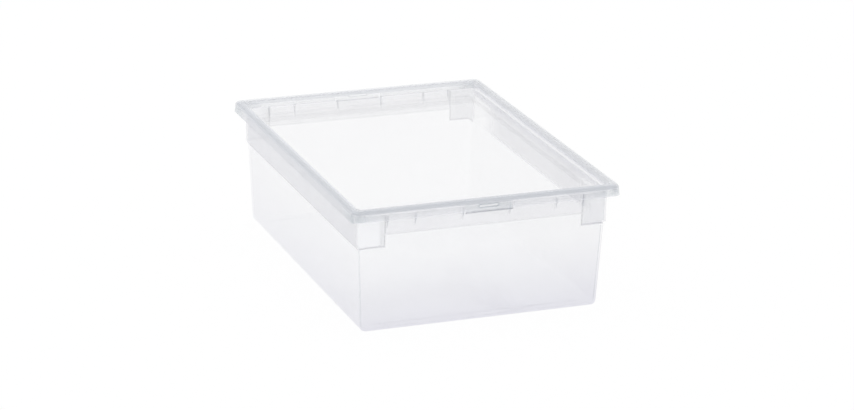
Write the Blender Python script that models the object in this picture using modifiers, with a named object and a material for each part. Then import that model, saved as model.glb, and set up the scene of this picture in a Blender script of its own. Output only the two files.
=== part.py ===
"""Clear plastic storage box with a lid that snaps over its rim.

A thin-walled moulded box, the lid that covers its rim, and the two snap tabs that flex out of
the lid's short sides. Metres, +Z up. The origin is the centre of the footprint, on the surface
that the box stands on. X is the short direction and Y the long one. An inset is a distance
inwards from the lid's outermost outline, so that one number places a wall on all four sides.
"""

import math

import bmesh
import bpy
from mathutils import Matrix

MM = 0.001

# Overall size, over the closed lid
RIM_WIDTH = 280 * MM
RIM_LENGTH = 388 * MM
TOTAL_HEIGHT = 130 * MM

# Clearances and working distances
SEAT_GAP = 0.3 * MM
SKIRT_CLEARANCE = 0.5 * MM
RECESS_CLEARANCE = 0.5 * MM
STACK_CLEARANCE = 0.6 * MM
FLEX_GAP = 0.4 * MM
OVERRUN = 2.0 * MM
MERGE_DISTANCE = 0.002 * MM

# Lid
LID_WALL = 1.6 * MM
LID_CORNER_RADIUS = 6.5 * MM
SKIRT_HEIGHT = 11.0 * MM
SKIRT_DRAFT = 0.6 * MM
CREST_WIDTH = 7.6 * MM
CREST_RADIUS = 3.0 * MM
CREST_RISE = 4.0 * MM
CREST_SLOPE = 4.0 * MM
LEDGE_RADIUS = 1.9 * MM
RECESS_DEPTH = 13.0 * MM
RECESS_DRAFT = 1.0 * MM
RECESS_FILLET = 2.0 * MM
RECESS_CORNER_RADIUS = 7.0 * MM
GATE_RADIUS = 1.6 * MM
GATE_HEIGHT = 0.4 * MM

# Box walls and base
BODY_WALL = 1.8 * MM
BODY_CORNER_RADIUS = 6.5 * MM
BASE_FILLET = 5.5 * MM
FOOT_WIDTH = 9.0 * MM
FOOT_HEIGHT = 1.0 * MM
FOOT_SLOPE = 1.5 * MM

# Band that thickens the box's outline under the rim
BAND_TOP_INSET = 9.0 * MM
BAND_DRAFT = 0.4 * MM
BAND_STEP = 1.7 * MM
BAND_DROP = 42.2 * MM
STEP_RISE = 0.8 * MM
BAND_CORNER_RADIUS = 7.0 * MM

# Short sides: a pad at each corner, and a shallower band set back between the pads
PAD_WIDTH = 31.0 * MM
PAD_SLOPE = 5.4 * MM
PAD_DROP = 39.8 * MM
CENTRE_BAND_DROP = 28.6 * MM
CENTRE_SET_BACK = 0.6 * MM
CENTRE_STEP = 0.8 * MM

# Rim of the box: a flange with a lip that turns down
FLANGE_BEND = 0.8 * MM
LIP_RECESS = 0.8 * MM
LIP_CORNER_RADIUS = 6.0 * MM

# Gussets that carry the lip on the short sides
GUSSET_SPACING = 49.0 * MM
GUSSET_THICKNESS = 1.4 * MM
GUSSET_DROP = 10.0 * MM
GUSSET_NOSE = 0.6 * MM

# Snap tabs
TAB_WIDTH = 49.0 * MM
TAB_SLIT = 1.2 * MM
TAB_HINGE_DROP = 0.8 * MM
TAB_REACH = 1.3 * MM
GRIP_PROUD = 1.2 * MM
GRIP_HEIGHT = 2.3 * MM
GRIP_FLARE = 1.4 * MM
GRIP_WALL = 1.8 * MM
GRIP_CHAMFER = 0.5 * MM
TAB_EDGE = 0.25 * MM
BEAD_WIDTH = 36.0 * MM
BEAD_HEIGHT = 1.5 * MM
BEAD_CHAMFER = 0.4 * MM
SLOT_WIDTH = 20.0 * MM
SLOT_HEIGHT = 2.4 * MM
SLOT_DROP = 6.4 * MM
SLOT_CORNER = 0.9 * MM

# Counts of facets
CORNER_STEPS = 8
FILLET_STEPS = 4
CREST_STEPS = 5
BEND_STEPS = 2
SLOPE_STEPS = 4
GATE_SIDES = 20

# Heights and insets that follow from the sizes above
HALF_WIDTH = RIM_WIDTH / 2
HALF_LENGTH = RIM_LENGTH / 2
SKIRT_BOTTOM_Z = TOTAL_HEIGHT - SKIRT_HEIGHT
LEDGE_Z = TOTAL_HEIGHT - CREST_RISE
PANEL_Z = TOTAL_HEIGHT - RECESS_DEPTH
SHOULDER_Z = TOTAL_HEIGHT - CREST_RADIUS
FLANGE_TOP_Z = LEDGE_Z - LID_WALL - SEAT_GAP
FLANGE_UNDER_Z = FLANGE_TOP_Z - BODY_WALL
LIP_BOTTOM_Z = SKIRT_BOTTOM_Z + LIP_RECESS
LIP_INSET = SKIRT_DRAFT + LID_WALL + SKIRT_CLEARANCE
LIP_INNER_INSET = LIP_INSET + BODY_WALL
CENTRE_TOP_INSET = BAND_TOP_INSET + CENTRE_SET_BACK
RECESS_TOP_INSET = CENTRE_TOP_INSET + BODY_WALL + RECESS_CLEARANCE + LID_WALL
RECESS_LOW_INSET = RECESS_TOP_INSET + RECESS_DRAFT
BASE_INSET = RECESS_LOW_INSET + STACK_CLEARANCE
BAND_LOW_INSET = BAND_TOP_INSET + BAND_DRAFT
BODY_TOP_INSET = BAND_LOW_INSET + BAND_STEP
BAND_Z = TOTAL_HEIGHT - BAND_DROP
PAD_Z = TOTAL_HEIGHT - PAD_DROP
CENTRE_BAND_Z = TOTAL_HEIGHT - CENTRE_BAND_DROP
BEND_Z = FLANGE_UNDER_Z - FLANGE_BEND
PAD_EDGE_X = HALF_WIDTH - PAD_WIDTH
NOTCH_TOP_Z = SHOULDER_Z - TAB_HINGE_DROP
TAB_TOP_Z = NOTCH_TOP_Z - FLEX_GAP
TAB_BOTTOM_Z = SKIRT_BOTTOM_Z - TAB_REACH
SLOT_Z = TOTAL_HEIGHT - SLOT_DROP
HINGE_INSET = SKIRT_DRAFT + LID_WALL / 2


def clear_scene():
    for old in list(bpy.data.objects):
        bpy.data.objects.remove(old, do_unlink=True)


def new_collection(name):
    made = bpy.data.collections.new(name)
    bpy.context.scene.collection.children.link(made)
    return made


def plastic(name, colour, roughness, see_through):
    """Translucent moulded polypropylene."""
    material = bpy.data.materials.new(name)
    material.use_nodes = True
    shader = material.node_tree.nodes["Principled BSDF"]
    shader.inputs["Base Color"].default_value = (*colour, 1)
    shader.inputs["Roughness"].default_value = roughness
    shader.inputs["Metallic"].default_value = 0
    shader.inputs["Transmission Weight"].default_value = see_through
    return material


def add_object(name, mesh, collection, material=None):
    made = bpy.data.objects.new(name, mesh)
    collection.objects.link(made)
    if material is not None:
        mesh.materials.append(material)
    return made


def as_guide(tool):
    """A cutter, or a shape that is joined to a part, is no part itself."""
    tool.hide_render = True
    tool.display_type = "WIRE"


def add_boolean(target, tool, operation):
    modifier = target.modifiers.new(tool.name, "BOOLEAN")
    modifier.operation = operation
    modifier.object = tool


def shade_smooth(mesh, angle=math.radians(35)):
    mesh.shade_smooth()
    mesh.set_sharp_from_angle(angle=angle)


def arc(centre_inset, centre_z, radius, start, end, steps):
    """Points (inset, height) on an arc. An angle of 0 points outwards and 90 points up."""
    for step in range(steps + 1):
        angle = math.radians(start + (end - start) * step / steps)
        yield centre_inset - radius * math.cos(angle), centre_z + radius * math.sin(angle)


def quarter_outline(inset, corner_radius):
    """A quarter of a rounded rectangle, from the +X side round to the +Y side."""
    half_x = HALF_WIDTH - inset
    half_y = HALF_LENGTH - inset
    points = [(half_x, 0)]
    for step in range(CORNER_STEPS + 1):
        angle = math.pi / 2 * step / CORNER_STEPS
        x = half_x - corner_radius + corner_radius * math.cos(angle)
        y = half_y - corner_radius + corner_radius * math.sin(angle)
        points.append((x, y))
    points.append((0, half_y))
    return points


def level_ring(inset, corner_radius, z):
    return [(x, y, z) for x, y in quarter_outline(inset, corner_radius)]


def body_ring(inset, middle_inset, corner_radius, side_z, pad_z, middle_z):
    """A ring whose short side slopes from the inset of its pad to that of its middle.

    Its height is side_z along the long side and at the inner end of each pad's slope, and
    pad_z across the pad, so that the slope hangs a little below the pad that it edges.
    """
    corner = quarter_outline(inset, corner_radius)
    ring = [(*corner[0], side_z)]
    for step in range(CORNER_STEPS + 1):
        turned_share = step / CORNER_STEPS
        z = side_z + (pad_z - side_z) * turned_share
        ring.append((*corner[step + 1], z))
    slope_start_x = min(PAD_EDGE_X, HALF_WIDTH - inset - corner_radius - PAD_SLOPE)
    for step in range(SLOPE_STEPS + 1):
        along_share = step / SLOPE_STEPS
        eased_share = along_share * along_share * (3 - 2 * along_share)
        slope_inset = inset + (middle_inset - inset) * eased_share
        hang_share = min(1, 2 * along_share)
        z = pad_z + (side_z - pad_z) * hang_share
        ring.append((slope_start_x - PAD_SLOPE * along_share, HALF_LENGTH - slope_inset, z))
    ring.append((ring[-1][0] - STEP_RISE, HALF_LENGTH - middle_inset, middle_z))
    ring.append((0, HALF_LENGTH - middle_inset, middle_z))
    return ring


def lofted_quarter(name, rings, outwards):
    """A skin through rings of equal counts, closed by a flat face at the first ring.

    Its faces point outwards where its rings climb outside a wall, and otherwise upwards.
    """
    bm = bmesh.new()
    rows = [[bm.verts.new(point) for point in ring] for ring in rings]
    centre = bm.verts.new((0, 0, rings[0][0][2]))
    faces = [bm.faces.new([centre, *reversed(rows[0])])]
    for lower, upper in zip(rows, rows[1:]):
        for left in range(len(lower) - 1):
            corners = (lower[left], lower[left + 1], upper[left + 1], upper[left])
            faces.append(bm.faces.new(corners))
    if not outwards:
        bmesh.ops.reverse_faces(bm, faces=faces)
    mesh = bpy.data.meshes.new(name)
    bm.to_mesh(mesh)
    bm.free()
    return mesh


def mirror_and_thicken(part, wall):
    """Completes a quarter skin and gives it its wall, on the side away from its normals."""
    mirror = part.modifiers.new("quarters", "MIRROR")
    mirror.use_axis = (True, True, False)
    mirror.merge_threshold = MERGE_DISTANCE
    solidify = part.modifiers.new("wall", "SOLIDIFY")
    solidify.thickness = wall
    solidify.offset = -1
    solidify.use_even_offset = True
    solidify.use_quality_normals = True


def plate_mesh(name, outline, half_thickness):
    """A flat plate across X: its outline is in (y, z) and its thickness is centred on x = 0."""
    curve = bpy.data.curves.new(name, "CURVE")
    curve.dimensions = "2D"
    curve.fill_mode = "BOTH"
    curve.extrude = half_thickness
    spline = curve.splines.new("POLY")
    spline.points.add(len(outline) - 1)
    for point, (y, z) in zip(spline.points, outline):
        point.co = (y, z, 0, 1)
    spline.use_cyclic_u = True
    carrier = bpy.data.objects.new(name, curve)
    bpy.context.scene.collection.objects.link(carrier)
    depsgraph = bpy.context.evaluated_depsgraph_get()
    mesh = bpy.data.meshes.new_from_object(carrier.evaluated_get(depsgraph))
    bpy.data.objects.remove(carrier, do_unlink=True)
    bm = bmesh.new()
    bm.from_mesh(mesh)
    bmesh.ops.remove_doubles(bm, verts=bm.verts, dist=MERGE_DISTANCE)
    upright = Matrix(((0, 0, 1), (1, 0, 0), (0, 1, 0))).to_4x4()
    bmesh.ops.transform(bm, matrix=upright, verts=bm.verts)
    bm.to_mesh(mesh)
    bm.free()
    return mesh


def box_mesh(name, size, place):
    bm = bmesh.new()
    bmesh.ops.create_cube(bm, size=1)
    bmesh.ops.transform(bm, matrix=Matrix.Diagonal((*size, 1)), verts=bm.verts)
    bmesh.ops.translate(bm, vec=place, verts=bm.verts)
    mesh = bpy.data.meshes.new(name)
    bm.to_mesh(mesh)
    bm.free()
    return mesh


def body_inset(z):
    """How far the plain wall below the band lies inside the outline at a height."""
    return BASE_INSET - (BASE_INSET - BODY_TOP_INSET) * z / BAND_Z


def box_rings():
    """The box's outer skin, from the middle of the base up the walls and over the rim."""
    rings = []
    base_corner = BODY_CORNER_RADIUS - BASE_FILLET
    fillet_inset = BASE_INSET + BASE_FILLET
    foot_inset = fillet_inset + FOOT_WIDTH
    for inset, z in ((foot_inset + FOOT_SLOPE, FOOT_HEIGHT), (foot_inset, 0)):
        rings.append(body_ring(inset, inset, base_corner, z, z, z))
    for inset, z in arc(fillet_inset, BASE_FILLET, BASE_FILLET, -90, 0, FILLET_STEPS):
        radius = BODY_CORNER_RADIUS - (inset - BASE_INSET)
        rings.append(body_ring(inset, inset, radius, z, z, z))

    # The step out to the band, lower along the long sides than across the short ones
    side, middle = body_inset(BAND_Z), body_inset(PAD_Z)
    rings.append(body_ring(side, middle, BODY_CORNER_RADIUS, BAND_Z, PAD_Z, PAD_Z))
    side_z, pad_z = BAND_Z + STEP_RISE, PAD_Z + STEP_RISE
    side, middle = BAND_LOW_INSET, body_inset(pad_z)
    rings.append(body_ring(side, middle, BAND_CORNER_RADIUS, side_z, pad_z, pad_z))
    middle_z = CENTRE_BAND_Z
    middle = BAND_LOW_INSET + CENTRE_SET_BACK + CENTRE_STEP
    rings.append(body_ring(side, middle, BAND_CORNER_RADIUS, middle_z, middle_z, middle_z))
    middle_z += STEP_RISE
    middle = BAND_LOW_INSET + CENTRE_SET_BACK
    rings.append(body_ring(side, middle, BAND_CORNER_RADIUS, middle_z, middle_z, middle_z))

    for inset, z in arc(BAND_TOP_INSET - FLANGE_BEND, BEND_Z, FLANGE_BEND, 180, 90, BEND_STEPS):
        radius = BAND_CORNER_RADIUS + BAND_TOP_INSET - inset
        rings.append(body_ring(inset, inset + CENTRE_SET_BACK, radius, z, z, z))
    for inset, z in arc(LIP_INNER_INSET + FLANGE_BEND, BEND_Z, FLANGE_BEND, 90, 0, BEND_STEPS):
        radius = LIP_CORNER_RADIUS - (inset - LIP_INNER_INSET)
        rings.append(body_ring(inset, inset, radius, z, z, z))
    inset, z = LIP_INNER_INSET, LIP_BOTTOM_Z
    rings.append(body_ring(inset, inset, LIP_CORNER_RADIUS, z, z, z))
    return rings


def gusset_outline():
    """One gusset in (y, z), sunk into the band, the flange and the lip that it joins."""
    sink = BODY_WALL / 2
    band_y = HALF_LENGTH - CENTRE_TOP_INSET
    lip_y = HALF_LENGTH - LIP_INNER_INSET
    foot_z = SKIRT_BOTTOM_Z - GUSSET_DROP
    top_z = FLANGE_UNDER_Z + sink / 2
    return [
        (band_y - sink, foot_z),
        (band_y + GUSSET_NOSE, foot_z),
        (lip_y, LIP_BOTTOM_Z + GUSSET_NOSE),
        (lip_y + sink, LIP_BOTTOM_Z + sink + GUSSET_NOSE),
        (lip_y + sink, BEND_Z),
        (lip_y - FLANGE_BEND, top_z),
        (band_y - sink, top_z),
    ]


def gusset_places():
    """Where the gussets stand along a short side: evenly, and one by each pad's slope."""
    edge = PAD_EDGE_X - PAD_SLOPE - GUSSET_THICKNESS
    inner = GUSSET_SPACING / 2
    outer = inner + GUSSET_SPACING
    return [-edge, -outer, -inner, inner, outer, edge]


def gussets_mesh():
    single = plate_mesh("gusset", gusset_outline(), GUSSET_THICKNESS / 2)
    bm = bmesh.new()
    for turn in (0, math.pi):
        for x in gusset_places():
            before = len(bm.verts)
            bm.from_mesh(single)
            bm.verts.ensure_lookup_table()
            added = bm.verts[before:]
            bmesh.ops.translate(bm, vec=(x, 0, 0), verts=added)
            bmesh.ops.rotate(bm, cent=(0, 0, 0), matrix=Matrix.Rotation(turn, 3, "Z"), verts=added)
    mesh = bpy.data.meshes.new("gussets")
    bm.to_mesh(mesh)
    bm.free()
    return mesh


def make_box(parts, tools, material):
    body = add_object("box_body", lofted_quarter("box_body", box_rings(), True), parts, material)
    mirror_and_thicken(body, BODY_WALL)
    gussets = add_object("gussets", gussets_mesh(), tools)
    as_guide(gussets)
    add_boolean(body, gussets, "UNION")
    shade_smooth(body.data)
    return body


def lid_profile():
    """The lid's upper skin as (inset, height), from the panel out over the crest and down."""
    fillet_inset = RECESS_LOW_INSET + RECESS_FILLET
    yield from arc(fillet_inset, PANEL_Z + RECESS_FILLET, RECESS_FILLET, -90, 0, FILLET_STEPS)
    shoulder_z = LEDGE_Z - LEDGE_RADIUS
    yield from arc(
        RECESS_TOP_INSET - LEDGE_RADIUS, shoulder_z, LEDGE_RADIUS, 180, 90, FILLET_STEPS
    )
    yield CREST_WIDTH + CREST_SLOPE, LEDGE_Z
    yield CREST_WIDTH, TOTAL_HEIGHT
    crest_inset = SKIRT_DRAFT + CREST_RADIUS
    yield from arc(crest_inset, SHOULDER_Z, CREST_RADIUS, 90, 0, CREST_STEPS)
    yield 0, SKIRT_BOTTOM_Z


def lid_rings():
    rings = []
    for inset, z in lid_profile():
        if inset >= RECESS_TOP_INSET:
            radius = RECESS_CORNER_RADIUS - (inset - RECESS_TOP_INSET)
        else:
            out_share = 1 - inset / RECESS_TOP_INSET
            radius = RECESS_CORNER_RADIUS + (LID_CORNER_RADIUS - RECESS_CORNER_RADIUS) * out_share
        rings.append(level_ring(inset, radius, z))
    return rings


def notch_mesh():
    """Cuts the skirt free round both tabs, and leaves the rest of the rim whole."""
    width = TAB_WIDTH + 2 * TAB_SLIT
    height = NOTCH_TOP_Z - SKIRT_BOTTOM_Z + OVERRUN
    depth = LIP_INSET + OVERRUN
    bm = bmesh.new()
    for side in (-1, 1):
        place = (0, side * (HALF_LENGTH - LIP_INSET + depth / 2), NOTCH_TOP_Z - height / 2)
        cut = bmesh.ops.create_cube(bm, size=1)["verts"]
        bmesh.ops.transform(bm, matrix=Matrix.Diagonal((width, depth, height, 1)), verts=cut)
        bmesh.ops.translate(bm, vec=place, verts=cut)
    mesh = bpy.data.meshes.new("tab_notches")
    bm.to_mesh(mesh)
    bm.free()
    return mesh


def gate_mesh():
    """The small round mark that the moulding gate leaves in the middle of the panel."""
    bm = bmesh.new()
    sunk = LID_WALL / 2
    bmesh.ops.create_cone(
        bm,
        cap_ends=True,
        segments=GATE_SIDES,
        radius1=GATE_RADIUS,
        radius2=GATE_RADIUS,
        depth=sunk + GATE_HEIGHT,
    )
    bmesh.ops.translate(bm, vec=(0, 0, PANEL_Z + (GATE_HEIGHT - sunk) / 2), verts=bm.verts)
    mesh = bpy.data.meshes.new("gate_mark")
    bm.to_mesh(mesh)
    bm.free()
    return mesh


def make_lid(parts, tools, material):
    lid = add_object("lid", lofted_quarter("lid", lid_rings(), False), parts, material)
    mirror_and_thicken(lid, LID_WALL)
    gate = add_object("gate_mark", gate_mesh(), tools)
    notches = add_object("tab_notches", notch_mesh(), tools)
    for tool in (gate, notches):
        as_guide(tool)
    add_boolean(lid, gate, "UNION")
    add_boolean(lid, notches, "DIFFERENCE")
    shade_smooth(lid.data)
    return lid


def skirt_inset(z):
    """How far the skirt's outer face lies inside the outline at a height."""
    return SKIRT_DRAFT * (z - SKIRT_BOTTOM_Z) / (SHOULDER_Z - SKIRT_BOTTOM_Z)


def tab_outline():
    """A tab's section as (outward, up) from its hinge axis: skirt above, grip below."""
    grip_z = TAB_BOTTOM_Z + GRIP_HEIGHT
    neck_z = grip_z + GRIP_FLARE
    grip_inner = GRIP_WALL - GRIP_PROUD
    section = [
        (skirt_inset(TAB_TOP_Z), TAB_TOP_Z),
        (skirt_inset(TAB_TOP_Z) + LID_WALL, TAB_TOP_Z),
        (skirt_inset(neck_z) + LID_WALL, neck_z),
        (grip_inner, grip_z),
        (grip_inner, TAB_BOTTOM_Z),
        (-GRIP_PROUD + GRIP_CHAMFER, TAB_BOTTOM_Z),
        (-GRIP_PROUD, TAB_BOTTOM_Z + GRIP_CHAMFER),
        (-GRIP_PROUD, grip_z),
        (skirt_inset(neck_z), neck_z),
    ]
    return [(HINGE_INSET - inset, z - TAB_TOP_Z) for inset, z in section]


def bead_outline():
    """The ridge inside a tab's grip, under the box's lip and just clear of its outer face."""
    inner = LIP_INSET - SKIRT_CLEARANCE
    root = (GRIP_WALL - GRIP_PROUD) / 2
    low_z = TAB_BOTTOM_Z
    high_z = low_z + BEAD_HEIGHT
    section = [
        (root, high_z),
        (inner - BEAD_CHAMFER, high_z),
        (inner, high_z - BEAD_CHAMFER),
        (inner, low_z + BEAD_CHAMFER + BEAD_CHAMFER),
        (inner - BEAD_CHAMFER, low_z + BEAD_CHAMFER),
        (root, low_z + BEAD_CHAMFER),
    ]
    return [(HINGE_INSET - inset, z - TAB_TOP_Z) for inset, z in section]


def make_tab(name, turn, lid, parts, tools, material):
    """One snap tab. Its origin is on the living hinge along its upper edge."""
    side = math.cos(turn)
    tab = add_object(name, plate_mesh(name, tab_outline(), TAB_WIDTH / 2), parts, material)
    tab.location = (0, side * (HALF_LENGTH - HINGE_INSET), TAB_TOP_Z)
    tab.rotation_euler = (0, 0, turn)
    tab.parent = lid

    bead = add_object(name + "_bead", plate_mesh("bead", bead_outline(), BEAD_WIDTH / 2), tools)
    slot_size = (SLOT_WIDTH, LID_WALL + 2 * OVERRUN, SLOT_HEIGHT)
    slot_mesh = box_mesh("slot", slot_size, (0, 0, SLOT_Z - TAB_TOP_Z))
    slot = add_object(name + "_slot", slot_mesh, tools)
    for tool in (bead, slot):
        tool.parent = tab
        as_guide(tool)
    round_ends = slot.modifiers.new("round_ends", "BEVEL")
    round_ends.width = SLOT_CORNER
    round_ends.segments = BEND_STEPS
    add_boolean(tab, bead, "UNION")
    add_boolean(tab, slot, "DIFFERENCE")
    edges = tab.modifiers.new("edges", "BEVEL")
    edges.width = TAB_EDGE
    edges.segments = 1
    edges.limit_method = "ANGLE"
    shade_smooth(tab.data)
    return tab


def main():
    clear_scene()
    parts = new_collection("storage_box")
    tools = new_collection("cutters")
    clear = plastic("clear_polypropylene", (0.88, 0.89, 0.92), 0.18, 0.85)
    lid_clear = plastic("clear_lid_polypropylene", (0.90, 0.92, 0.94), 0.14, 0.88)

    whole = bpy.data.objects.new("storage_box", None)
    parts.objects.link(whole)
    body = make_box(parts, tools, clear)
    lid = make_lid(parts, tools, lid_clear)
    body.parent = whole
    lid.parent = whole
    make_tab("rear_snap_tab", 0, lid, parts, tools, lid_clear)
    make_tab("front_snap_tab", math.pi, lid, parts, tools, lid_clear)


main()
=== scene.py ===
"""Finish of a clear plastic storage box: fine moulded surfaces, see-through plastic and a studio.

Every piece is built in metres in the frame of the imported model, at its rest pose. X is the
short direction and Y the long one, and the front looks towards -Y. An inset is a distance
inwards from the lid's outermost outline, so that one number places a wall on all four sides.
"""

import math
from collections import namedtuple

import bmesh
import bpy
from mathutils import Matrix, Vector


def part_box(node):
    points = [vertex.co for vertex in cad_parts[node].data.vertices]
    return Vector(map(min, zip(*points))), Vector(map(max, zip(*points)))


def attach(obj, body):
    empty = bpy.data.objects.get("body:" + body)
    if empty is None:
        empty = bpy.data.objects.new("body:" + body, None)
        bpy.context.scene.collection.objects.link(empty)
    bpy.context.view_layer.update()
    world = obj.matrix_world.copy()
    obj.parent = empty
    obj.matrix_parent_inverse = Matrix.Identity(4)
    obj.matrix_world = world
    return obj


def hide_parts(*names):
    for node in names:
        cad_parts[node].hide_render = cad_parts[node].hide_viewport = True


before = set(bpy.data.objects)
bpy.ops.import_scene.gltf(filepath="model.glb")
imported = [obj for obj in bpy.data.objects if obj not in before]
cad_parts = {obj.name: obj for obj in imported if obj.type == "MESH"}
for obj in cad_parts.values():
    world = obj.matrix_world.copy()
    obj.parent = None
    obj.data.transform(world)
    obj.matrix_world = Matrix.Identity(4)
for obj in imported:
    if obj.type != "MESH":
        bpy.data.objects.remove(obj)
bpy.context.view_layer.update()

MM = 0.001

# Overall size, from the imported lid
LID_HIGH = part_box("lid")[1]
HALF_WIDTH = LID_HIGH.x
HALF_LENGTH = LID_HIGH.y
TOTAL_HEIGHT = LID_HIGH.z

# Clearances and working distances
SEAT_GAP = 0.3 * MM
SKIRT_CLEARANCE = 0.5 * MM
RECESS_CLEARANCE = 0.5 * MM
STACK_CLEARANCE = 0.6 * MM
FLEX_GAP = 0.4 * MM
OVERRUN = 2.0 * MM
MERGE_DISTANCE = 0.002 * MM

# Lid
LID_WALL = 1.6 * MM
LID_CORNER_RADIUS = 6.5 * MM
SKIRT_HEIGHT = 11.0 * MM
SKIRT_DRAFT = 0.6 * MM
CREST_WIDTH = 7.6 * MM
CREST_RADIUS = 3.0 * MM
CREST_RISE = 4.0 * MM
CREST_SLOPE = 4.0 * MM
LEDGE_RADIUS = 1.9 * MM
RECESS_DEPTH = 13.0 * MM
RECESS_DRAFT = 1.0 * MM
RECESS_FILLET = 2.0 * MM
RECESS_CORNER_RADIUS = 7.0 * MM
GATE_RADIUS = 1.6 * MM
GATE_HEIGHT = 0.4 * MM

# Box walls and base
BODY_WALL = 1.8 * MM
BODY_CORNER_RADIUS = 6.5 * MM
BASE_FILLET = 5.5 * MM
FOOT_WIDTH = 9.0 * MM
FOOT_HEIGHT = 1.0 * MM
FOOT_SLOPE = 1.5 * MM

# Band that thickens the box's outline under the rim
BAND_TOP_INSET = 9.0 * MM
BAND_DRAFT = 0.4 * MM
BAND_STEP = 1.7 * MM
BAND_DROP = 42.2 * MM
STEP_RISE = 0.8 * MM
BAND_CORNER_RADIUS = 7.0 * MM

# Short sides: a pad at each corner, and a shallower band set back between the pads
PAD_WIDTH = 31.0 * MM
PAD_SLOPE = 5.4 * MM
PAD_DROP = 39.8 * MM
CENTRE_BAND_DROP = 28.6 * MM
CENTRE_SET_BACK = 0.6 * MM
CENTRE_STEP = 0.8 * MM

# Rim of the box: a flange with a lip that turns down
FLANGE_BEND = 0.8 * MM
LIP_RECESS = 0.8 * MM
LIP_CORNER_RADIUS = 6.0 * MM

# Gussets that carry the lip on the short sides
GUSSET_SPACING = 49.0 * MM
GUSSET_THICKNESS = 1.4 * MM
GUSSET_DROP = 10.0 * MM
GUSSET_NOSE = 0.6 * MM

# Snap tabs
TAB_WIDTH = 49.0 * MM
TAB_SLIT = 1.2 * MM
TAB_HINGE_DROP = 0.8 * MM
TAB_REACH = 1.3 * MM
GRIP_PROUD = 1.2 * MM
GRIP_HEIGHT = 2.3 * MM
GRIP_FLARE = 1.4 * MM
GRIP_WALL = 1.8 * MM
GRIP_CHAMFER = 0.5 * MM
TAB_EDGE = 0.25 * MM
BEAD_WIDTH = 36.0 * MM
BEAD_HEIGHT = 1.5 * MM
BEAD_CHAMFER = 0.4 * MM
SLOT_WIDTH = 20.0 * MM
SLOT_HEIGHT = 2.4 * MM
SLOT_DROP = 6.4 * MM
SLOT_CORNER = 0.9 * MM

# Rounding of free edges, wherever two faces meet at more than the sharp angle
EDGE_ROUND = 0.35 * MM
EDGE_STEPS = 3
SHARP_ANGLE = math.radians(40)
TAB_SHARP_ANGLE = math.radians(30)

# Counts of facets
CORNER_STEPS = 20
FILLET_STEPS = 10
CREST_STEPS = 12
BEND_STEPS = 6
SLOPE_STEPS = 12
GATE_SIDES = 48

# Heights and insets that follow from the sizes above
SKIRT_BOTTOM_Z = TOTAL_HEIGHT - SKIRT_HEIGHT
LEDGE_Z = TOTAL_HEIGHT - CREST_RISE
PANEL_Z = TOTAL_HEIGHT - RECESS_DEPTH
SHOULDER_Z = TOTAL_HEIGHT - CREST_RADIUS
FLANGE_TOP_Z = LEDGE_Z - LID_WALL - SEAT_GAP
FLANGE_UNDER_Z = FLANGE_TOP_Z - BODY_WALL
LIP_BOTTOM_Z = SKIRT_BOTTOM_Z + LIP_RECESS
LIP_INSET = SKIRT_DRAFT + LID_WALL + SKIRT_CLEARANCE
LIP_INNER_INSET = LIP_INSET + BODY_WALL
CENTRE_TOP_INSET = BAND_TOP_INSET + CENTRE_SET_BACK
RECESS_TOP_INSET = CENTRE_TOP_INSET + BODY_WALL + RECESS_CLEARANCE + LID_WALL
RECESS_LOW_INSET = RECESS_TOP_INSET + RECESS_DRAFT
BASE_INSET = RECESS_LOW_INSET + STACK_CLEARANCE
BAND_LOW_INSET = BAND_TOP_INSET + BAND_DRAFT
BODY_TOP_INSET = BAND_LOW_INSET + BAND_STEP
BAND_Z = TOTAL_HEIGHT - BAND_DROP
PAD_Z = TOTAL_HEIGHT - PAD_DROP
CENTRE_BAND_Z = TOTAL_HEIGHT - CENTRE_BAND_DROP
BEND_Z = FLANGE_UNDER_Z - FLANGE_BEND
PAD_EDGE_X = HALF_WIDTH - PAD_WIDTH
NOTCH_TOP_Z = SHOULDER_Z - TAB_HINGE_DROP
TAB_TOP_Z = NOTCH_TOP_Z - FLEX_GAP
TAB_BOTTOM_Z = SKIRT_BOTTOM_Z - TAB_REACH
SLOT_Z = TOTAL_HEIGHT - SLOT_DROP
HINGE_INSET = SKIRT_DRAFT + LID_WALL / 2

# Optics of the plastic. Haze is the share of the light that one face of a wall scatters, and
# slant is how much of a sloping path through the wall counts as extra haze.
Finish = namedtuple("Finish", "colour haze roughness slant")
PLASTIC_IOR = 1.49
PLASTIC_TINT = (0.75, 0.78, 0.85)
PLASTIC_DENSITY = 4.0
LEAST_COSINE = 0.04

# Finishes of the box
BOX_WALL = Finish((0.66, 0.66, 0.70), 0.045, 0.12, 0.5)
BASE_FINISH = Finish((0.66, 0.66, 0.71), 0.023, 0.12, 1.0)
BASE_BEND = Finish((0.66, 0.66, 0.71), 0.07, 0.12, 0.0)
SIDE_BAND = Finish((0.64, 0.635, 0.69), 0.20, 0.35, 0.2)
CENTRE_BAND = Finish((0.72, 0.71, 0.76), 0.14, 0.35, 0.2)
PAD_FINISH = Finish((0.93, 0.93, 0.96), 0.18, 0.3, 0.0)
# Painted shade: the right pad is a darker copy of the left one, the pads' slopes are painted
# darker and a dark line is painted at each slope's foot
RIGHT_PAD_SHADE = Finish((0.70, 0.70, 0.745), 0.20, 0.3, 0.0)
PAD_SLOPE_SHADE = Finish((0.58, 0.59, 0.63), 0.16, 0.3, 0.0)
PAD_SHADE_LINE = Finish((0.25, 0.25, 0.30), 0.30, 0.3, 0.0)
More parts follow.
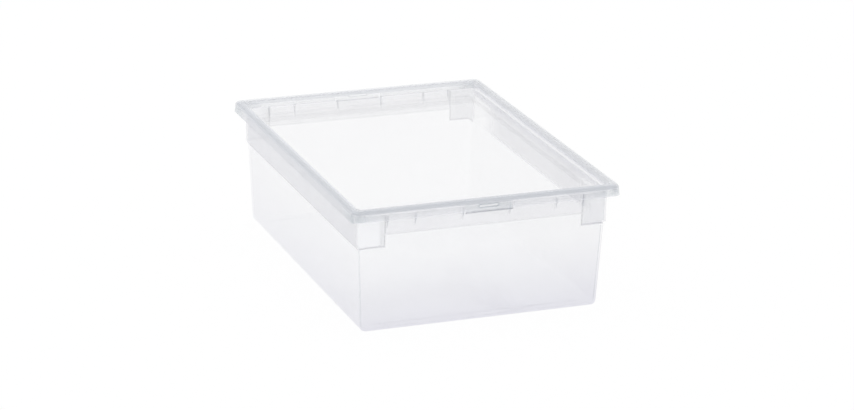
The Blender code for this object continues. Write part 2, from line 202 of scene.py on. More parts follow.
# Painted shade: dark lines under the steps, down the front corners and round the right front
# corner
OUTER_STEP_SHADE = Finish((0.40, 0.39, 0.46), 0.27, 0.3, 0.0)
INNER_STEP_SHADE = Finish((0.50, 0.50, 0.55), 0.15, 0.3, 0.0)
CORNER_SHADE = Finish((0.45, 0.50, 0.53), 0.10, 0.2, 1.0)
RIGHT_CORNER_SHADE = Finish((0.46, 0.46, 0.53), 0.12, 0.2, 0.2)
BOX_RIM = Finish((0.70, 0.71, 0.75), 0.01, 0.2, 0.1)
# Painted shade: the gussets are painted dark for the shade under the flange
GUSSET_SHADE = Finish((0.40, 0.43, 0.48), 0.26, 0.2, 0.0)

# Finishes of the lid
PANEL_FINISH = Finish((0.80, 0.77, 0.73), 0.019, 0.05, 1.0)
LEDGE_FINISH = Finish((0.72, 0.73, 0.76), 0.02, 0.05, 0.0)
# Painted shade: darker copies of the ledge on the left and right sides, and of the slope on the
# right, for how the light falls on each
LEFT_LEDGE_SHADE = Finish((0.62, 0.63, 0.67), 0.13, 0.2, 0.0)
RIGHT_LEDGE_SHADE = Finish((0.68, 0.68, 0.72), 0.045, 0.2, 0.0)
RIGHT_SLOPE_SHADE = Finish((0.68, 0.68, 0.72), 0.26, 0.2, 0.0)
# Painted shade: the crest is painted dark, and painted lighter on the right and rear sides for
# how the light falls on each
CREST_SHADE = Finish((0.62, 0.635, 0.665), 0.75, 0.25, 0.0)
RIGHT_CREST_LIGHT = Finish((0.68, 0.685, 0.70), 0.50, 0.25, 0.0)
REAR_CREST_LIGHT = Finish((0.76, 0.77, 0.79), 0.40, 0.25, 0.0)
SKIRT_FINISH = Finish((0.66, 0.68, 0.73), 0.09, 0.3, 0.6)
# Painted shade: the left skirt and the rim's corners are painted darker, the left corners darkest
LEFT_SKIRT_SHADE = Finish((0.61, 0.62, 0.665), 0.15, 0.3, 0.6)
LEFT_RIM_CORNER_SHADE = Finish((0.57, 0.61, 0.635), 0.46, 0.3, 0.1)
RIM_CORNER_SHADE = Finish((0.60, 0.64, 0.665), 0.36, 0.3, 0.1)
# Painted highlight along the lower edge of the skirt
SKIRT_HIGHLIGHT = Finish((0.98, 0.98, 1.00), 0.35, 0.2, 0.0)

# Finishes of the tabs
# Painted shade: the front tab is painted darker, with a painted shadow along its grip and painted
# shade round its slot; the rear tab's copies are painted lighter
FRONT_TAB_SHADE = Finish((0.55, 0.59, 0.63), 0.16, 0.25, 0.2)
GRIP_SHADOW = Finish((0.25, 0.27, 0.32), 0.35, 0.25, 0.2)
SLOT_SHADE = Finish((0.42, 0.50, 0.54), 0.38, 0.25, 0.2)
REAR_TAB_LIGHT = Finish((0.62, 0.64, 0.69), 0.06, 0.25, 0.2)
REAR_GRIP_SHADOW = Finish((0.42, 0.44, 0.49), 0.20, 0.25, 0.2)
REAR_SLOT_SHADE = Finish((0.45, 0.50, 0.54), 0.25, 0.25, 0.2)

# Clouding of the plastic and grain of its surface. A span is what a number is multiplied by
# where the noise is lowest and highest.
CLOUD_SIZE = 40.0 * MM
CLOUD_SPAN = (0.8, 1.2)
GRAIN_SIZE = 0.8 * MM
GRAIN_SPAN = (0.8, 1.2)
NOISE_DETAIL = 2.0
WAVE_HEIGHT = 0.15 * MM
GRAIN_HEIGHT = 0.01 * MM

# Width over which one zone of a piece fades into the next
MASK_EDGE = 0.4 * MM

# Painted dark lines of shade on the box: down the front corners, below the steps out to the band,
# and at the foot of each pad's slope. The two heights of a step's line are measured from the edge
# of the step.
CORNER_SHADE_LINE = 0.8 * MM
CORNER_SHADE_PLACE = 4.3 * MM
OUTER_SHADE_LINE = (-2.0 * MM, -0.4 * MM)
INNER_SHADE_LINE = (-0.8 * MM, 0.6 * MM)
PAD_SHADE_LINE_WIDTH = 0.9 * MM

# Length at each end of the right band where its lower half is painted lighter, as clear as the
# wall, for how the light falls on that side
RIGHT_BAND_LIGHT_END = 90.0 * MM

# Zones of the lid's rim: how far its corners carry painted shade, how far the crest's painted
# shade comes down its outer face and fades on its slope, and the painted highlight on the lower
# edge of the skirt
RIM_CORNER_REACH = 34.0 * MM
RIM_CORNER_CORE = 6.0 * MM
CREST_OVERLAP = 0.8 * MM
CREST_FADE = CREST_SLOPE / 2
SKIRT_HIGHLIGHT_HEIGHT = 0.8 * MM

# Zones of a tab: the shares of the grip's height between which its painted shadow fades in, and
# the width of the painted shade round its slot
GRIP_FADE = (0.7, 0.3)
SLOT_SHADE_WIDTH = 0.6 * MM

# Shade of the floor in front, where it shows through the plastic: it fades over a run along
# the line of sight, is weaker behind, and ends a little way outside the box
SIGHT_X = 0.35
SIGHT_Y = 0.94
SHADE_RUN = 218.0 * MM
SHADE_REAR = 0.35
SHADE_MARGIN = 80.0 * MM
SHADE_COLOUR = (0.785, 0.78, 0.845)

# Studio, in metres. The floor glows white towards the camera by a share, and the rest of it
# takes the object's shadow. The backdrop is what the camera sees past the floor's far edge.
FLOOR_HALF_SIZE = 12.0
FLOOR_DROP = 0.2 * MM
FLOOR_GLOW = 0.94
WHITE = (1, 1, 1)
BACKDROP_COLOUR = (0.8, 0.8, 0.8)
ROOM_COLOUR = (0.97, 0.98, 1.0)
LAMP_PLACE = (-0.6, 0.4, 2.0)
LAMP_SIZE = 1.6
LAMP_WATTS = 3

# Light paths, deep enough for many see-through walls one behind another
MAX_BOUNCES = 40
GLOSSY_BOUNCES = 16
DIFFUSE_BOUNCES = 6
CLEAR_WALLS = 64

# Camera, placed by fitting the box's outline in the photograph
LENS_MM = 128.73
SENSOR_MM = 36.0
CAMERA_REACH = 50.0
CAMERA_PLACE = (-1.04844, -2.78652, 1.08117)
CAMERA_TURN = (1.24058, -0.01598, -0.35722)


def add_object(name, data):
    obj = bpy.data.objects.new(name, data)
    bpy.context.scene.collection.objects.link(obj)
    return obj


def mesh_from(bm, name):
    mesh = bpy.data.meshes.new(name)
    bm.to_mesh(mesh)
    bm.free()
    return mesh


def arc(centre_inset, centre_z, radius, start, end, steps):
    """Points (inset, height) on an arc. An angle of 0 points outwards and 90 points up."""
    for step in range(steps + 1):
        angle = math.radians(start + (end - start) * step / steps)
        yield centre_inset - radius * math.cos(angle), centre_z + radius * math.sin(angle)


def quarter_outline(inset, corner_radius):
    """A quarter of a rounded rectangle, from the +X side round to the +Y side."""
    half_x = HALF_WIDTH - inset
    half_y = HALF_LENGTH - inset
    points = [(half_x, 0)]
    for step in range(CORNER_STEPS + 1):
        angle = math.pi / 2 * step / CORNER_STEPS
        x = half_x - corner_radius + corner_radius * math.cos(angle)
        y = half_y - corner_radius + corner_radius * math.sin(angle)
        points.append((x, y))
    points.append((0, half_y))
    return points


def level_ring(inset, corner_radius, z):
    return [(x, y, z) for x, y in quarter_outline(inset, corner_radius)]


def body_ring(inset, middle_inset, corner_radius, side_z, pad_z, middle_z):
    """A ring whose short side slopes from the inset of its pad to that of its middle."""
    corner = quarter_outline(inset, corner_radius)
    ring = [(*corner[0], side_z)]
    for step in range(CORNER_STEPS + 1):
        turned_share = step / CORNER_STEPS
        z = side_z + (pad_z - side_z) * turned_share
        ring.append((*corner[step + 1], z))
    slope_start_x = min(PAD_EDGE_X, HALF_WIDTH - inset - corner_radius - PAD_SLOPE)
    for step in range(SLOPE_STEPS + 1):
        along_share = step / SLOPE_STEPS
        eased_share = along_share * along_share * (3 - 2 * along_share)
        slope_inset = inset + (middle_inset - inset) * eased_share
        hang_share = min(1, 2 * along_share)
        z = pad_z + (side_z - pad_z) * hang_share
        ring.append((slope_start_x - PAD_SLOPE * along_share, HALF_LENGTH - slope_inset, z))
    ring.append((ring[-1][0] - STEP_RISE, HALF_LENGTH - middle_inset, middle_z))
    ring.append((0, HALF_LENGTH - middle_inset, middle_z))
    return ring


def flat_ring(inset, corner_radius, z, set_back=0):
    """A ring at one height, whose middle may be set back from its pads."""
    return body_ring(inset, inset + set_back, corner_radius, z, z, z)


def lofted_quarter(name, rings, outwards):
    """A skin through rings of equal counts, closed by a flat face at the first ring."""
    bm = bmesh.new()
    rows = [[bm.verts.new(point) for point in ring] for ring in rings]
    centre = bm.verts.new((0, 0, rings[0][0][2]))
    faces = [bm.faces.new([centre, *reversed(rows[0])])]
    for lower, upper in zip(rows, rows[1:]):
        for left in range(len(lower) - 1):
            corners = (lower[left], lower[left + 1], upper[left + 1], upper[left])
            faces.append(bm.faces.new(corners))
    if not outwards:
        bmesh.ops.reverse_faces(bm, faces=faces)
    return mesh_from(bm, name)


def mirror_and_thicken(part, wall):
    mirror = part.modifiers.new("quarters", "MIRROR")
    mirror.use_axis = (True, True, False)
    mirror.merge_threshold = MERGE_DISTANCE
    solidify = part.modifiers.new("wall", "SOLIDIFY")
    solidify.thickness = wall
    solidify.offset = -1
    solidify.use_even_offset = True
    solidify.use_quality_normals = True


def round_edges(part, width, angle=SHARP_ANGLE):
    bevel = part.modifiers.new("round_edges", "BEVEL")
    bevel.width = width
    bevel.segments = EDGE_STEPS
    bevel.limit_method = "ANGLE"
    bevel.angle_limit = angle


def add_boolean(target, tool, operation):
    modifier = target.modifiers.new(tool.name, "BOOLEAN")
    modifier.operation = operation
    modifier.object = tool


def finish_mesh(part, tools):
    """Applies the modifiers, removes their tools and shades the surface smoothly."""
    depsgraph = bpy.context.evaluated_depsgraph_get()
    mesh = bpy.data.meshes.new_from_object(part.evaluated_get(depsgraph))
    part.modifiers.clear()
    part.data = mesh
    for tool in tools:
        bpy.data.objects.remove(tool)
    mesh.shade_smooth()
    mesh.set_sharp_from_angle(angle=SHARP_ANGLE)
    normals = part.modifiers.new("weighted_normals", "WEIGHTED_NORMAL")
    normals.keep_sharp = True


def plate_mesh(name, outline, half_thickness):
    """A flat plate across X: its outline is in (y, z) and its thickness is centred on x = 0."""
    bm = bmesh.new()
    near = [bm.verts.new((-half_thickness, y, z)) for y, z in outline]
    face = bm.faces.new(near)
    out = bmesh.ops.extrude_face_region(bm, geom=[face])["geom"]
    moved = [part for part in out if isinstance(part, bmesh.types.BMVert)]
    bmesh.ops.translate(bm, vec=(2 * half_thickness, 0, 0), verts=moved)
    bmesh.ops.recalc_face_normals(bm, faces=bm.faces)
    return mesh_from(bm, name)


def add_block(bm, size, place):
    """A rectangular block of the given size, centred on a place."""
    block = bmesh.ops.create_cube(bm, size=1)["verts"]
    bmesh.ops.transform(bm, matrix=Matrix.Diagonal((*size, 1)), verts=block)
    bmesh.ops.translate(bm, vec=place, verts=block)


def body_inset(z):
    """How far the plain wall below the band lies inside the outline at a height."""
    return BASE_INSET - (BASE_INSET - BODY_TOP_INSET) * z / BAND_Z


def band_rings():
    """The step out to the band, lower along the long sides than across the short ones."""
    side_z = BAND_Z + STEP_RISE
    pad_z = PAD_Z + STEP_RISE
    low_middle = body_inset(PAD_Z)
    high_middle = body_inset(pad_z)
    step = CENTRE_SET_BACK + CENTRE_STEP
    return [
        body_ring(body_inset(BAND_Z), low_middle, BODY_CORNER_RADIUS, BAND_Z, PAD_Z, PAD_Z),
        body_ring(BAND_LOW_INSET, high_middle, BAND_CORNER_RADIUS, side_z, pad_z, pad_z),
        flat_ring(BAND_LOW_INSET, BAND_CORNER_RADIUS, CENTRE_BAND_Z, step),
        flat_ring(
            BAND_LOW_INSET, BAND_CORNER_RADIUS, CENTRE_BAND_Z + STEP_RISE, CENTRE_SET_BACK
        ),
    ]


def box_rings():
    """The box's outer skin, from the middle of the base up the walls and over the rim."""
    rings = []
    base_corner = BODY_CORNER_RADIUS - BASE_FILLET
    fillet_inset = BASE_INSET + BASE_FILLET
    foot_inset = fillet_inset + FOOT_WIDTH
    for inset, z in ((foot_inset + FOOT_SLOPE, FOOT_HEIGHT), (foot_inset, 0)):
        rings.append(flat_ring(inset, base_corner, z))
    for inset, z in arc(fillet_inset, BASE_FILLET, BASE_FILLET, -90, 0, FILLET_STEPS):
        rings.append(flat_ring(inset, BODY_CORNER_RADIUS - (inset - BASE_INSET), z))
    rings += band_rings()
    for inset, z in arc(BAND_TOP_INSET - FLANGE_BEND, BEND_Z, FLANGE_BEND, 180, 90, BEND_STEPS):
        radius = BAND_CORNER_RADIUS + BAND_TOP_INSET - inset
        rings.append(flat_ring(inset, radius, z, CENTRE_SET_BACK))
    for inset, z in arc(LIP_INNER_INSET + FLANGE_BEND, BEND_Z, FLANGE_BEND, 90, 0, BEND_STEPS):
        rings.append(flat_ring(inset, LIP_CORNER_RADIUS - (inset - LIP_INNER_INSET), z))
    rings.append(flat_ring(LIP_INNER_INSET, LIP_CORNER_RADIUS, LIP_BOTTOM_Z))
    return rings


def gusset_outline():
    """One gusset in (y, z), sunk into the band, the flange and the lip that it joins."""
    sink = BODY_WALL / 2
    band_y = HALF_LENGTH - CENTRE_TOP_INSET
    lip_y = HALF_LENGTH - LIP_INNER_INSET
    foot_z = SKIRT_BOTTOM_Z - GUSSET_DROP
    top_z = FLANGE_UNDER_Z + sink / 2
    return [
        (band_y - sink, foot_z),
        (band_y + GUSSET_NOSE, foot_z),
        (lip_y, LIP_BOTTOM_Z + GUSSET_NOSE),
        (lip_y + sink, LIP_BOTTOM_Z + sink + GUSSET_NOSE),
        (lip_y + sink, BEND_Z),
        (lip_y - FLANGE_BEND, top_z),
        (band_y - sink, top_z),
    ]


def gusset_places():
    """Where the gussets stand along a short side: evenly, and one by each pad's slope."""
    edge = PAD_EDGE_X - PAD_SLOPE - GUSSET_THICKNESS
    inner = GUSSET_SPACING / 2
    outer = inner + GUSSET_SPACING
    return [-edge, -outer, -inner, inner, outer, edge]


def gussets_mesh():
    """The gussets of both short sides: those of the front are turned round from the rear."""
    single = plate_mesh("gusset", gusset_outline(), GUSSET_THICKNESS / 2)
    bm = bmesh.new()
    for turn in (0, math.pi):
        matrix = Matrix.Rotation(turn, 3, "Z")
        for x in gusset_places():
            before = len(bm.verts)
            bm.from_mesh(single)
            bm.verts.ensure_lookup_table()
            added = bm.verts[before:]
            bmesh.ops.translate(bm, vec=(x, 0, 0), verts=added)
            bmesh.ops.rotate(bm, cent=(0, 0, 0), matrix=matrix, verts=added)
    return mesh_from(bm, "gussets")


def make_box(material):
    body = add_object("box_moulding", lofted_quarter("box", box_rings(), True))
    mirror_and_thicken(body, BODY_WALL)
    round_edges(body, EDGE_ROUND)
    gussets = add_object("gussets", gussets_mesh())
    add_boolean(body, gussets, "UNION")
    finish_mesh(body, [gussets])
    body.data.materials.append(material)
    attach(body, "box")
    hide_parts("box_body")


def lid_profile():
    """The lid's upper skin as (inset, height), from the panel out over the crest and down."""
    fillet_inset = RECESS_LOW_INSET + RECESS_FILLET
    yield from arc(fillet_inset, PANEL_Z + RECESS_FILLET, RECESS_FILLET, -90, 0, FILLET_STEPS)
    ledge_inset = RECESS_TOP_INSET - LEDGE_RADIUS
    yield from arc(ledge_inset, LEDGE_Z - LEDGE_RADIUS, LEDGE_RADIUS, 180, 90, FILLET_STEPS)
    yield CREST_WIDTH + CREST_SLOPE, LEDGE_Z
    yield CREST_WIDTH, TOTAL_HEIGHT
    crest_inset = SKIRT_DRAFT + CREST_RADIUS
    yield from arc(crest_inset, SHOULDER_Z, CREST_RADIUS, 90, 0, CREST_STEPS)
    yield 0, SKIRT_BOTTOM_Z


def lid_rings():
    """The lid's upper skin. Its corner radius goes from the recess's to the outline's."""
    rings = []
    for inset, z in lid_profile():
        if inset >= RECESS_TOP_INSET:
            radius = RECESS_CORNER_RADIUS - (inset - RECESS_TOP_INSET)
        else:
            out_share = 1 - inset / RECESS_TOP_INSET
            radius = RECESS_CORNER_RADIUS + (LID_CORNER_RADIUS - RECESS_CORNER_RADIUS) * out_share
        rings.append(level_ring(inset, radius, z))
    return rings


def notch_mesh():
    """Cuts the skirt free round both tabs, and leaves the rest of the rim whole."""
    width = TAB_WIDTH + 2 * TAB_SLIT
    height = NOTCH_TOP_Z - SKIRT_BOTTOM_Z + OVERRUN
    depth = LIP_INSET + OVERRUN
    bm = bmesh.new()
    for side in (-1, 1):
        place = (0, side * (HALF_LENGTH - LIP_INSET + depth / 2), NOTCH_TOP_Z - height / 2)
        add_block(bm, (width, depth, height), place)
    return mesh_from(bm, "tab_notches")


def gate_mesh():
    """The small round mark that the moulding gate leaves in the middle of the panel."""
    bm = bmesh.new()
    sunk = LID_WALL / 2
    bmesh.ops.create_cone(
        bm,
        cap_ends=True,
        segments=GATE_SIDES,
        radius1=GATE_RADIUS,
        radius2=GATE_RADIUS,
        depth=sunk + GATE_HEIGHT,
    )
    bmesh.ops.translate(bm, vec=(0, 0, PANEL_Z + (GATE_HEIGHT - sunk) / 2), verts=bm.verts)
    return mesh_from(bm, "gate_mark")


def make_lid(material):
    lid = add_object("lid_moulding", lofted_quarter("lid", lid_rings(), False))
    mirror_and_thicken(lid, LID_WALL)
    gate = add_object("gate_mark", gate_mesh())
    notches = add_object("tab_notches", notch_mesh())
    add_boolean(lid, gate, "UNION")
    add_boolean(lid, notches, "DIFFERENCE")
    round_edges(lid, EDGE_ROUND)
    finish_mesh(lid, [gate, notches])
    lid.data.materials.append(material)
    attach(lid, "lid")
    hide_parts("lid")


def skirt_inset(z):
    """How far the skirt's outer face lies inside the outline at a height."""
    return SKIRT_DRAFT * (z - SKIRT_BOTTOM_Z) / (SHOULDER_Z - SKIRT_BOTTOM_Z)


def tab_outline():
    """A tab's section as (outward, up) from its hinge axis: skirt above, grip below."""
    grip_z = TAB_BOTTOM_Z + GRIP_HEIGHT
    neck_z = grip_z + GRIP_FLARE
    grip_inner = GRIP_WALL - GRIP_PROUD
    section = [
        (skirt_inset(TAB_TOP_Z), TAB_TOP_Z),
        (skirt_inset(TAB_TOP_Z) + LID_WALL, TAB_TOP_Z),
        (skirt_inset(neck_z) + LID_WALL, neck_z),
        (grip_inner, grip_z),
        (grip_inner, TAB_BOTTOM_Z),
        (-GRIP_PROUD + GRIP_CHAMFER, TAB_BOTTOM_Z),
        (-GRIP_PROUD, TAB_BOTTOM_Z + GRIP_CHAMFER),
        (-GRIP_PROUD, grip_z),
        (skirt_inset(neck_z), neck_z),
    ]
    return [(HINGE_INSET - inset, z - TAB_TOP_Z) for inset, z in section]


def bead_outline():
    """The ridge inside a tab's grip, under the box's lip and just clear of its outer face."""
    inner = LIP_INSET - SKIRT_CLEARANCE
    root = (GRIP_WALL - GRIP_PROUD) / 2
    low_z = TAB_BOTTOM_Z
    high_z = low_z + BEAD_HEIGHT
    section = [
        (root, high_z),
        (inner - BEAD_CHAMFER, high_z),
        (inner, high_z - BEAD_CHAMFER),
        (inner, low_z + 2 * BEAD_CHAMFER),
        (inner - BEAD_CHAMFER, low_z + BEAD_CHAMFER),
        (root, low_z + BEAD_CHAMFER),
    ]
    return [(HINGE_INSET - inset, z - TAB_TOP_Z) for inset, z in section]


def slot_mesh():
    """Cuts the slot through a tab that hangs from the origin."""
    bm = bmesh.new()
    size = (SLOT_WIDTH, LID_WALL + 2 * OVERRUN, SLOT_HEIGHT)
    add_block(bm, size, (0, 0, SLOT_Z - TAB_TOP_Z))
    return mesh_from(bm, "slot")


def make_tab(name, turn, body, node, material):
    """One snap tab, turned about the vertical and set on its hinge line."""
    tab = add_object(name, plate_mesh(name, tab_outline(), TAB_WIDTH / 2))
    bead = add_object("bead", plate_mesh("bead", bead_outline(), BEAD_WIDTH / 2))
    slot = add_object("slot", slot_mesh())
    round_edges(slot, SLOT_CORNER)
    add_boolean(tab, bead, "UNION")
    add_boolean(tab, slot, "DIFFERENCE")
    round_edges(tab, TAB_EDGE, TAB_SHARP_ANGLE)
    finish_mesh(tab, [bead, slot])
    side = math.cos(turn)
    place = Matrix.Translation((0, side * (HALF_LENGTH - HINGE_INSET), TAB_TOP_Z))
    tab.data.transform(place @ Matrix.Rotation(turn, 4, "Z"))
    tab.data.materials.append(material)
    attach(tab, body)
    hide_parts(node)


class Graph:
    """Adds nodes to a material or to the world, and joins their sockets."""

    # Sockets of a mix node that hold its two numbers, its two colours and the mixed colour
    NUMBERS = (2, 3)
    COLOURS = (6, 7)
    MIXED_COLOUR = 2

    def __init__(self, owner):
        owner.use_nodes = True
        self.nodes = owner.node_tree.nodes
        self.links = owner.node_tree.links

    def put(self, value, socket):
        """Sets a socket to a plain number or colour, or joins another socket to it."""
        if isinstance(value, bpy.types.NodeSocket):
            self.links.new(value, socket)
        elif isinstance(value, tuple):
            socket.default_value = (*value, 1)
        else:
            socket.default_value = value

    def maths(self, operation, *values):
        node = self.nodes.new("ShaderNodeMath")
        node.operation = operation
        for value, socket in zip(values, node.inputs):
            self.put(value, socket)
        return node.outputs[0]

    def one_minus(self, value):
        return self.maths("SUBTRACT", 1.0, value)

    def product(self, *masks):
        result = masks[0]
        for mask in masks[1:]:
            result = self.maths("MULTIPLY", result, mask)
        return result

    def ramp(self, value, zero, one, interpolation="LINEAR"):
        """Goes from 0 at one value to 1 at the other, and stays there beyond them."""
        node = self.nodes.new("ShaderNodeMapRange")
        node.interpolation_type = interpolation
        self.put(value, node.inputs["Value"])
        self.put(zero, node.inputs["From Min"])
        self.put(one, node.inputs["From Max"])
        return node.outputs[0]

    def step(self, value, edge, softness):
        """0 below an edge and 1 above it, eased over the softness."""
        return self.ramp(value, edge - softness / 2, edge + softness / 2, "SMOOTHSTEP")

    def window(self, value, low, high, softness):
        """1 between two edges and 0 outside them."""
        above = self.step(value, high, softness)
        return self.maths("SUBTRACT", self.step(value, low, softness), above)

    def between(self, share, low, high):
        """A number that goes from low to high as the share goes from 0 to 1."""
        node = self.nodes.new("ShaderNodeMix")
        self.put(share, node.inputs[0])
        for value, index in zip((low, high), self.NUMBERS):
            self.put(value, node.inputs[index])
        return node.outputs[0]

    def colour_between(self, share, low, high):
        node = self.nodes.new("ShaderNodeMix")
        node.data_type = "RGBA"
        self.put(share, node.inputs[0])
        for value, index in zip((low, high), self.COLOURS):
            self.put(value, node.inputs[index])
        return node.outputs[self.MIXED_COLOUR]

    def mix_shaders(self, share, first, second, surface):
        """Joins two shaders' mix to an output's surface: a share of 0 gives the first one."""
        mix = self.nodes.new("ShaderNodeMixShader")
        self.put(share, mix.inputs[0])
        self.put(first.outputs[0], mix.inputs[1])
        self.put(second.outputs[0], mix.inputs[2])
        self.put(mix.outputs[0], surface)


class SurfaceGraph(Graph):
    """The nodes of one material, with numbers that say where a point lies in the frame."""

    def __init__(self, name):
        self.material = bpy.data.materials.new(name)
        super().__init__(self.material)
        self.shader = self.nodes["Principled BSDF"]
        self.output = self.nodes["Material Output"]
        self.point = self.nodes.new("ShaderNodeTexCoord").outputs["Object"]
        split = self.nodes.new("ShaderNodeSeparateXYZ")
        self.put(self.point, split.inputs[0])
        self.x, self.y, self.z = split.outputs
        self.from_middle_x = self.maths("ABSOLUTE", self.x)
        self.from_middle_y = self.maths("ABSOLUTE", self.y)

        # Outwards grows up to half the length at the outline of all four sides, and towards
        # side is 0 on the corners' diagonals and above 0 beside the long sides
        as_long = self.maths("ADD", self.from_middle_x, HALF_LENGTH - HALF_WIDTH)
        self.outwards = self.maths("MAXIMUM", as_long, self.from_middle_y)
        self.towards_side = self.maths("SUBTRACT", as_long, self.from_middle_y)

    def slanted(self, haze, slant):
        """The haze of a face, raised where the light crosses the wall at a slant."""
        facing = self.nodes.new("ShaderNodeLayerWeight").outputs["Facing"]
        cosine = self.maths("MAXIMUM", self.one_minus(facing), LEAST_COSINE)
        extra = self.maths("SUBTRACT", self.maths("DIVIDE", 1.0, cosine), 1.0)
        length = self.maths("ADD", self.maths("MULTIPLY", extra, slant), 1.0)
        return self.one_minus(self.maths("POWER", self.one_minus(haze), length))

    def noise(self, size):
        """Noise whose patches are about the given size."""
        node = self.nodes.new("ShaderNodeTexNoise")
        self.put(self.point, node.inputs["Vector"])
        self.put(1 / size, node.inputs["Scale"])
        self.put(NOISE_DETAIL, node.inputs["Detail"])
        return node.outputs[0]

    def bump(self, height, distance, normal=None):
        node = self.nodes.new("ShaderNodeBump")
        self.put(distance, node.inputs["Distance"])
        self.put(height, node.inputs["Height"])
        if normal is not None:
            self.put(normal, node.inputs["Normal"])
        return node.outputs[0]


class BoxGraph(SurfaceGraph):
    """The box's material, with the masks that several of its zones share."""

    def __init__(self, name):
        super().__init__(name)
        self.right = self.maths("GREATER_THAN", self.x, 0)
        self.front = self.maths("LESS_THAN", self.y, 0)
        side_edge = BAND_CORNER_RADIUS - EDGE_ROUND
        self.side = self.step(self.towards_side, side_edge, MASK_EDGE)
        self.side_band = self.product(self.side, self.step(self.z, BAND_Z, MASK_EDGE))

        # A short side consists of a pad and its slope at each end, and the middle
        end = self.one_minus(self.side)
        self.pad = self.step(self.from_middle_x, PAD_EDGE_X, MASK_EDGE)
        slope_foot_x = PAD_EDGE_X - PAD_SLOPE
        self.pad_and_slope = self.step(self.from_middle_x, slope_foot_x, MASK_EDGE)
        self.middle = self.product(end, self.one_minus(self.pad_and_slope))
        self.raised = self.product(end, self.step(self.z, BAND_Z, MASK_EDGE))


def base_zones(graph):
    """The base, and the bend from it to the walls."""
    low = graph.ramp(graph.z, BASE_FILLET, BASE_FILLET / 2)
    bend_edge = HALF_LENGTH - BASE_INSET - BASE_FILLET / 2
    bend = graph.product(low, graph.step(graph.outwards, bend_edge, BASE_FILLET))
    return (low, BASE_FINISH), (bend, BASE_BEND)


def band_zones(graph):
    """The band, and the lower half of its right side's ends, painted lighter, as clear as the
    wall.
    """
    light_start = HALF_LENGTH - RIGHT_BAND_LIGHT_END
    right_band_light = graph.product(
        graph.side_band,
        graph.right,
        graph.ramp(graph.from_middle_y, light_start, light_start + RIGHT_BAND_LIGHT_END / 2),
        graph.one_minus(graph.step(graph.z, PANEL_Z, RECESS_DEPTH)),
    )
    centre_band = graph.product(graph.middle, graph.step(graph.z, CENTRE_BAND_Z, MASK_EDGE))
    return (graph.side_band, SIDE_BAND), (right_band_light, BOX_WALL), (centre_band, CENTRE_BAND)


def pad_zones(graph):
    """The pads, with painted shade on the right one, the slopes beside them painted darker, and a
    painted dark line of shade at each slope's foot.
    """
    pads = graph.product(graph.raised, graph.pad)
    slope = graph.product(graph.raised, graph.maths("SUBTRACT", graph.pad_and_slope, graph.pad))
    foot_x = PAD_EDGE_X - PAD_SLOPE
    at_foot = graph.window(graph.from_middle_x, foot_x - PAD_SHADE_LINE_WIDTH, foot_x, MASK_EDGE)
    return (
        (pads, PAD_FINISH),
        (graph.product(pads, graph.right), RIGHT_PAD_SHADE),
        (slope, PAD_SLOPE_SHADE),
        (graph.product(graph.raised, at_foot), PAD_SHADE_LINE),
    )


def step_zones(graph):
    """Painted dark lines of shade: one under the step out to the band and the pads, left off the
    right long side, and one under the step of the middle band.
    """
    round_corner = graph.step(graph.towards_side, 0, 2 * BAND_CORNER_RADIUS)
    outer_z = graph.between(round_corner, PAD_Z, BAND_Z)
    outer_step = graph.product(
        graph.window(graph.maths("SUBTRACT", graph.z, outer_z), *OUTER_SHADE_LINE, MASK_EDGE),
        graph.maths("MAXIMUM", graph.side, graph.pad_and_slope),
        graph.one_minus(graph.product(graph.side, graph.right)),
    )
    above_inner = graph.maths("SUBTRACT", graph.z, CENTRE_BAND_Z)
    inner_step = graph.product(graph.window(above_inner, *INNER_SHADE_LINE, MASK_EDGE), graph.middle)
    return (outer_step, OUTER_STEP_SHADE), (inner_step, INNER_STEP_SHADE)


def corner_zones(graph):
    """A painted dark line of shade down each front corner, and a painted dark outline of the
    right one.
    """
    corner_edge = HALF_LENGTH - BASE_INSET - BODY_CORNER_RADIUS
    at_corner = graph.product(graph.step(graph.outwards, corner_edge, MASK_EDGE), graph.front)
    line_start = CORNER_SHADE_PLACE - CORNER_SHADE_LINE
    line_end = CORNER_SHADE_PLACE + CORNER_SHADE_LINE
    line = graph.product(
        graph.window(graph.towards_side, line_start, line_end, CORNER_SHADE_LINE),
        graph.window(graph.z, BASE_FILLET, BAND_Z, BASE_FILLET),
        at_corner,
    )
    outline = graph.product(
        graph.window(graph.towards_side, -CORNER_SHADE_LINE, BODY_CORNER_RADIUS, CORNER_SHADE_LINE),
        graph.window(graph.z, BASE_FILLET, BEND_Z, BASE_FILLET),
        at_corner,
        graph.right,
    )
    return (line, CORNER_SHADE), (outline, RIGHT_CORNER_SHADE)


def rim_zones(graph):
    """The flange and the lip, and the gussets below the one and behind the other, painted dark
    for the shade under the flange.
    """
    lip_edge = HALF_LENGTH - LIP_INNER_INSET - MASK_EDGE
    lip = graph.step(graph.outwards, lip_edge, MASK_EDGE)
    rim = graph.maths("MAXIMUM", graph.step(graph.z, BEND_Z, MASK_EDGE), lip)
    band_edge = HALF_LENGTH - BAND_TOP_INSET + FLANGE_BEND
    under_flange = graph.window(graph.outwards, band_edge, lip_edge, MASK_EDGE)
    gussets = graph.product(under_flange, graph.one_minus(rim))
    return (rim, BOX_RIM), (gussets, GUSSET_SHADE)


def box_material():
    """The box's plastic. Where zones overlap, a later one covers an earlier one."""
    graph = BoxGraph("box_plastic")
    makers = (base_zones, band_zones, pad_zones, step_zones, corner_zones, rim_zones)
    zones = [zone for make_zones in makers for zone in make_zones(graph)]
    plastic(graph, BOX_WALL, zones)
    return graph.material


